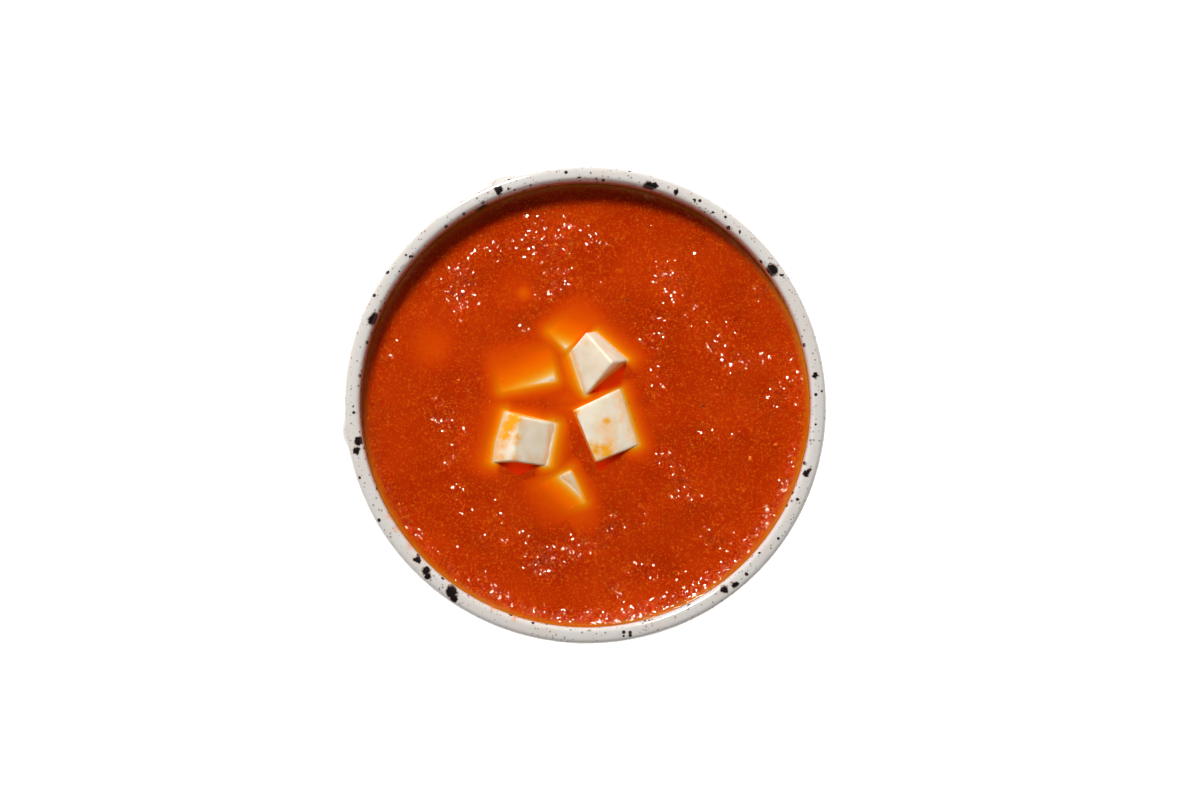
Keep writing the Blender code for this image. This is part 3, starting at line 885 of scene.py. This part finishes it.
def passed_light(tree, point, light):
    """How much painted red light the chunks let through to a point in their shadow, from 0 to 1."""
    sideways = light.cross(Vector((0.0, 0.0, 1.0))).normalized()
    upwards = sideways.cross(light)
    total = 0.0
    for across, along in ((0.0, 0.0), (1.0, 0.0), (-1.0, 0.0), (0.0, 1.0), (0.0, -1.0)):
        ray = (light + LIGHT_SPREAD * (across * sideways + along * upwards)).normalized()
        if tree.ray_cast(point, ray)[0] is not None:
            lit = tree.ray_cast(point + BEYOND * ray, -ray)[0]
            total += 0.2 * smooth_step(lit.z - point.z, *LEE_HEIGHT)
    return total


def glow_way(x, y, near):
    """How far the light at a place has come: from the nearest chunk in sight or from a sunk one."""
    for glow_x, glow_y, depth, spread in SUNK_GLOWS:
        away = math.hypot(x - glow_x * MM, y - glow_y * MM) / (spread * MM)
        near = min(near, depth * MM + SUNK_FADE * away ** 2)
    return near


def edge_grain(azimuth, inward):
    """How grainy the soup is where it starts to climb the wall."""
    gathered = smooth_hill(azimuth_between(azimuth, MENISCUS_GRAIN_AT), MENISCUS_GRAIN_WIDTH)
    share = MENISCUS_GRAIN * max(MENISCUS_GRAIN_LEAST, gathered)
    return share * smooth_hill(inward - MENISCUS_REACH, MENISCUS_GRAIN_REACH)


def soup_surface(bm, bowl, soup, light, cheese_tree):
    """Shape the grid into the soup's surface, and note on each vertex what its colour needs.

    film is the depth of soup over a chunk and near the way that a chunk's light has come, both in
    millimetres; the light painted into a chunk's shadow, wedge and grain go from 0 to 1.
    """
    layers = {name: bm.verts.layers.float.new(name)
              for name in ("film", "near", "painted_light_in_shadow", "wedge", "grain")}
    edge_height = soup.level + soup.meniscus
    edge_radius = inner_radius(bowl, edge_height)
    towards_light = Vector((light.x, light.y, 0.0)).normalized()
    for vert in bm.verts:
        share, angle = disc_point(vert.co.x, vert.co.y)
        azimuth = math.degrees(angle) + (180.0 if share < 0.0 else 0.0)
        shift = wall_shift(bowl, azimuth, edge_radius, edge_height, 0.0)
        contact = edge_radius + shift + WALL_OVERLAP
        x, y = contact * share * math.cos(angle), contact * share * math.sin(angle)
        inward = contact * (1.0 - abs(share))
        place = Vector((x, y, soup.level))
        distance, film, near = cheese_glow(cheese_tree, place, towards_light)
        near = glow_way(x, y, near)
        grain = max(pulp_share(x, y, min(distance, near)), edge_grain(azimuth, inward))
        climb = soup.meniscus * math.exp(-inward / MENISCUS_REACH)
        uneven = noise.noise(Vector((x, y, 0.3)) / (2.5 * MM))
        cling = CLING_HEIGHT * max(0.0, 0.4 + uneven) * math.exp(-distance / CLING_REACH)
        settle = smooth_step(inward, 0.0, SETTLE_REACH)
        vert.co = (x, y, soup.level + climb + cling + settle * ripples(x, y, grain))
        notes = {
            "film": min(film / MM + SKIN, DEEPEST),
            "near": near / MM,
            "painted_light_in_shadow": passed_light(cheese_tree, place, light) if distance < LEE_REACH else 0.0,
            "wedge": math.exp(-inward / WEDGE_REACH),
            "grain": grain * smooth_step(inward, *WALL_CALM),
        }
        for name, value in notes.items():
            vert[layers[name]] = value


def soup_sides(bm, bowl):
    """Carry the edge of the surface down the inside of the bowl and close it on its floor."""
    rim = [edge for edge in bm.edges if edge.is_boundary]
    outline = [point for point in inner_outline(bowl, 6, 1) if point[1] < BODY_TOP]
    for radius, height, _ in reversed(outline[1:]):
        drawn = bmesh.ops.extrude_edge_only(bm, edges=rim)["geom"]
        rim = [item for item in drawn if isinstance(item, bmesh.types.BMEdge)]
        for vert in [item for item in drawn if isinstance(item, bmesh.types.BMVert)]:
            azimuth = math.atan2(vert.co.y, vert.co.x)
            shift = wall_shift(bowl, math.degrees(azimuth), radius, height, 0.0)
            reach = radius + shift - BODY_GAP
            vert.co = (reach * math.cos(azimuth), reach * math.sin(azimuth), height + BODY_GAP)
    last = bmesh.ops.extrude_edge_only(bm, edges=rim)["geom"]
    low = [item for item in last if isinstance(item, bmesh.types.BMVert)]
    bmesh.ops.pointmerge(bm, verts=low, merge_co=(0.0, 0.0, outline[0][1] + BODY_GAP))


# The cheese's shape


def stain_strength(name, point):
    """How strongly the soup has stained a chunk at a point."""
    total = 0.0
    ragged = 0.7 * noise.noise(point / (1.4 * MM))
    for x, y, reach, strength in STAINS[name]:
        away = math.hypot(point.x / MM - x, point.y / MM - y) / reach
        faded = smooth_step(away + 0.5 * ragged, 0.0, STAIN_BLUR)
        total = max(total, STAIN_GAIN * strength * (1.0 - faded))
    return total


def soak_and_glow_strength(vert, soup):
    """How orange a chunk is next to the soup, from 0 to 1: more and higher on its steep sides, where
    the orange is also painted glow.
    """
    above = vert.co.z - soup.level + 0.5 * MM * noise.noise(vert.co / (1.5 * MM))
    steep = 1.0 - smooth_step(vert.normal.z, *STEEP)
    edge = WET_EDGE * (1.0 - smooth_step(above, *WET_EDGE_RISE))
    return max(edge, steep * (1.0 - smooth_step(above, *WET_AND_GLOW_FLANK_RISE)))


def soft_block(name):
    """A chunk's plain solid in small even faces, with its edges softened."""
    bm = welded_solids([name])
    plain = bpy.data.meshes.new(name + "_plain")
    bm.to_mesh(plain)
    bm.free()
    block = bpy.data.objects.new(name + "_plain", plain)
    bpy.context.collection.objects.link(block)
    even = block.modifiers.new("even faces", "REMESH")
    even.mode = "VOXEL"
    even.voxel_size = CHEESE_FACE
    evaluated = block.evaluated_get(bpy.context.evaluated_depsgraph_get())
    bm = bmesh.new()
    bm.from_mesh(evaluated.to_mesh())
    bpy.data.objects.remove(block)
    bmesh.ops.smooth_vert(bm, verts=bm.verts, factor=0.5, use_axis_x=True, use_axis_y=True,
                          use_axis_z=True)
    bm.normal_update()
    return bm


def cheese_piece(name, settings, soup, material):
    """A chunk with soft edges and hand-cut faces, in the place of its plain solid."""
    bm = soft_block(name)
    stain_layer = bm.verts.layers.float.new("stain")
    soak_and_glow_layer = bm.verts.layers.float.new("soaked_and_glow")
    moves = []
    for vert in bm.verts:
        wide = noise.noise(vert.co / WIDE_DENTS)
        curd = noise.fractal(vert.co / FINE_DENTS, 1.0, 2.0, 2)
        moves.append(vert.normal * settings.unevenness * (wide - 0.3 + 0.22 * curd))
        vert[stain_layer] = stain_strength(name, vert.co)
        vert[soak_and_glow_layer] = soak_and_glow_strength(vert, soup)
    for vert, move in zip(bm.verts, moves):
        vert.co += move
    obj = object_from(name.replace("cheese", "cheese_chunk"), bm, material)
    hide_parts(name)
    return obj


# Bits in the soup


def add_bit(bm, chooser, place, size, flatness, detail):
    """One ragged bit, half sunk in the surface."""
    start = len(bm.verts)
    bmesh.ops.create_icosphere(bm, subdivisions=detail, radius=size / 2)
    bm.verts.ensure_lookup_table()
    verts = bm.verts[start:]
    turn = chooser.uniform(0.0, math.pi)
    stretch = chooser.uniform(1.0, 1.5)
    seed = Vector((chooser.random(), chooser.random(), chooser.random())) * 40.0
    for vert in verts:
        ragged = 1.0 + 0.7 * noise.noise(vert.co / (size * 0.45) + seed)
        x, y, z = vert.co * ragged
        x *= stretch
        vert.co = (x * math.cos(turn) - y * math.sin(turn), x * math.sin(turn) + y * math.cos(turn),
                   z * flatness)
        vert.co += place


def scatter(name, places, loose, sizes, flatness, detail, material, soup, surface):
    """Bits at chosen places and at seeded random ones, on the soup's own surface."""
    chooser = random.Random(name)
    spots = [(x * MM, y * MM, size * MM) for x, y, size in places]
    while len(spots) < len(places) + loose:
        radius = SCATTER_RADIUS * math.sqrt(chooser.random())
        around = chooser.uniform(0.0, 2.0 * math.pi)
        size = chooser.uniform(*sizes)
        spots.append((radius * math.cos(around), radius * math.sin(around), size))
    bm = bmesh.new()
    for x, y, size in spots:
        hit = surface.ray_cast(Vector((x, y, BEYOND)), Vector((0.0, 0.0, -1.0)))[0]
        if hit is not None and hit.z < soup.level + HIGHEST_BIT:
            add_bit(bm, chooser, hit, size, flatness, detail)
    return object_from(name, bm, material)


# The stage


def direction(azimuth, elevation):
    """Unit vector that points up at this azimuth and elevation, in degrees."""
    around, up = math.radians(azimuth), math.radians(elevation)
    return Vector((math.cos(up) * math.cos(around), math.cos(up) * math.sin(around), math.sin(up)))


def make_floor():
    """A plain pale sweep under the bowl."""
    bm = bmesh.new()
    bmesh.ops.create_grid(bm, x_segments=1, y_segments=1, size=FLOOR_SIZE)
    bmesh.ops.translate(bm, verts=bm.verts, vec=(0.0, 0.0, -FLOOR_DROP))
    mesh = bpy.data.meshes.new("floor")
    bm.to_mesh(mesh)
    bm.free()
    mesh.materials.append(new_material("matte_white_paper", paper_recipe))
    floor = bpy.data.objects.new("floor", mesh)
    bpy.context.collection.objects.link(floor)
    return floor


def make_world(scene, settings):
    """Soft light from all round: bright near the horizon and darker straight above."""
    world = bpy.data.worlds.new("studio")
    nodes = Nodes(world, "Generated")
    up = nodes.add("SeparateXYZ", {0: nodes.coords}).outputs["Z"]
    sky = nodes.ramp(up, [(place, (level, level, level, 1.0)) for place, level in SKY_LEVELS])
    nodes.feed(nodes.tree.nodes["Background"], {"Color": sky, "Strength": settings.fill})
    scene.world = world


def looking_at(name, data, aim, azimuth, elevation, distance):
    """A light or camera that looks at the aim from this side and distance."""
    obj = bpy.data.objects.new(name, data)
    away = direction(azimuth, elevation)
    obj.location = aim + away * distance
    obj.rotation_euler = away.to_track_quat("Z", "Y").to_euler()
    bpy.context.collection.objects.link(obj)
    return obj


def make_light(name, shape, size, power, *placing):
    """An area light that looks at the aim."""
    data = bpy.data.lights.new(name, "AREA")
    data.shape = shape
    data.size = size
    data.energy = power
    return looking_at(name, data, *placing)


def link_light(light, floor, state):
    """Light the floor alone, or everything but the floor."""
    group = bpy.data.collections.new(light.name + "_receivers")
    group.objects.link(floor)
    group.collection_objects[0].light_linking.link_state = state
    light.light_linking.receiver_collection = group


def make_camera(scene, settings):
    """The camera, nearly straight above the bowl, a little on the near side."""
    data = bpy.data.cameras.new("camera")
    data.lens = settings.lens
    data.sensor_width = 36.0
    data.clip_start = 0.01
    data.clip_end = 20.0
    scene.camera = looking_at("camera", data, AIM, 270.0, settings.elevation, settings.distance)


class SOUP_OT_bowl(bpy.types.Operator):
    """Make the handmade bowl with its speckled glaze"""
    bl_idname = "soup.bowl"
    bl_label = "Stoneware bowl"

    def execute(self, context):
        scene = context.scene
        bowl = scene.soup_bowl
        outline = foot_outline(bowl) + outer_outline(bowl, 26, 14)[1:] + lip_outline(bowl, 22)
        bm = turned(outline + inner_outline(bowl, 26, 12)[::-1], bowl.segments)
        make_uneven(bm, bowl)
        glaze = new_material("speckled_white_glaze", glaze_recipe, bowl, scene.soup_glaze,
                             scene.soup_soup)
        obj = object_from("stoneware_bowl", bm, glaze)
        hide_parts("bowl")
        return {"FINISHED"}


class SOUP_OT_cheese(bpy.types.Operator):
    """Make the chunks of white cheese, with the soup's stains on them"""
    bl_idname = "soup.cheese"
    bl_label = "Cheese chunks"

    def execute(self, context):
        scene = context.scene
        material = new_material("fresh_white_cheese", cheese_recipe, scene.soup_cheese)
        for name in STAINS:
            cheese_piece(name, scene.soup_cheese, scene.soup_soup, material)
        return {"FINISHED"}


class SOUP_OT_soup(bpy.types.Operator):
    """Make the soup: its rippled surface and the body below it"""
    bl_idname = "soup.soup"
    bl_label = "Tomato soup"

    def execute(self, context):
        scene = context.scene
        bm = bmesh.new()
        bmesh.ops.create_grid(bm, x_segments=SOUP_CELLS, y_segments=SOUP_CELLS, size=1.0)
        light = direction(scene.soup_stage.key_azimuth, scene.soup_stage.key_elevation)
        chunks = welded_solids(STAINS)
        soup_surface(bm, scene.soup_bowl, scene.soup_soup, light, BVHTree.FromBMesh(chunks))
        chunks.free()
        soup_sides(bm, scene.soup_bowl)
        material = new_material("creamy_tomato_soup", soup_recipe, scene.soup_soup)
        obj = object_from("tomato_soup", bm, material)
        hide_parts("soup")
        return {"FINISHED"}


class SOUP_OT_bits(bpy.types.Operator):
    """Scatter specks of spice and grains of pulp on the soup"""
    bl_idname = "soup.bits"
    bl_label = "Spice and pulp"

    def execute(self, context):
        soup = context.scene.soup_soup
        bm = bmesh.new()
        bm.from_mesh(bpy.data.objects["tomato_soup"].data)
        surface = BVHTree.FromBMesh(bm)
        bm.free()
        # Ground black pepper and dried herbs, soaked soft: nearly black, dull when wet
        spice = new_material("soaked_ground_spice", bit_recipe, "#3a1608", 0.5)
        scatter("spice_specks", SPICE_PLACES, 46, (0.15 * MM, 0.34 * MM), 0.5, 1, spice, soup,
                surface)
        # Shreds of tomato flesh that the sieve let through: paler than the soup and glossy
        pulp = new_material("tomato_pulp", bit_recipe, "#c9560f", 0.2)
        scatter("pulp_grains", PULP_PLACES, 36, (0.3 * MM, 0.6 * MM), 0.35, 2, pulp, soup,
                surface)
        return {"FINISHED"}


class SOUP_OT_stage(bpy.types.Operator):
    """Set up the pale floor, the studio light and the camera"""
    bl_idname = "soup.stage"
    bl_label = "Stage"

    def execute(self, context):
        scene = context.scene
        settings = scene.soup_stage
        scene.view_settings.view_transform = "Standard"
        floor = make_floor()
        make_world(scene, settings)
        key = make_light("key", "DISK", KEY_SIZE, settings.key_power, AIM, settings.key_azimuth,
                         settings.key_elevation, KEY_DISTANCE)
        wash = make_light("floor_wash", "SQUARE", WASH_SIZE, WASH_POWER, Vector((0.0, 0.0, 0.0)),
                          270.0, 89.0, WASH_DISTANCE)
        link_light(key, floor, "EXCLUDE")
        link_light(wash, floor, "INCLUDE")
        make_camera(scene, settings)
        return {"FINISHED"}


class SOUP_PT_panel(bpy.types.Panel):
    bl_idname = "SOUP_PT_panel"
    bl_label = "Bowl of tomato soup"
    bl_space_type = "VIEW_3D"
    bl_region_type = "UI"
    bl_category = "Soup"

    def draw(self, context):
        for operator in OPERATORS:
            self.layout.operator(operator.bl_idname)
        for name, group in SETTINGS.items():
            box = self.layout.box()
            box.label(text=group.__name__.replace("Settings", ""))
            for setting in group.__annotations__:
                box.prop(getattr(context.scene, name), setting)


SETTINGS = {
    "soup_bowl": BowlSettings,
    "soup_glaze": GlazeSettings,
    "soup_soup": SoupSettings,
    "soup_cheese": CheeseSettings,
    "soup_stage": StageSettings,
}
OPERATORS = (SOUP_OT_bowl, SOUP_OT_cheese, SOUP_OT_soup, SOUP_OT_bits, SOUP_OT_stage)


def register():
    for group in SETTINGS.values():
        bpy.utils.register_class(group)
    for operator in OPERATORS:
        bpy.utils.register_class(operator)
    bpy.utils.register_class(SOUP_PT_panel)
    for name, group in SETTINGS.items():
        setattr(bpy.types.Scene, name, PointerProperty(type=group))


def unregister():
    for name in SETTINGS:
        delattr(bpy.types.Scene, name)
    bpy.utils.unregister_class(SOUP_PT_panel)
    for operator in reversed(OPERATORS):
        bpy.utils.unregister_class(operator)
    for group in SETTINGS.values():
        bpy.utils.unregister_class(group)


def main():
    register()
    bpy.ops.soup.bowl()
    bpy.ops.soup.cheese()
    bpy.ops.soup.soup()
    bpy.ops.soup.bits()
    bpy.ops.soup.stage()


if __name__ == "__main__":
    main()
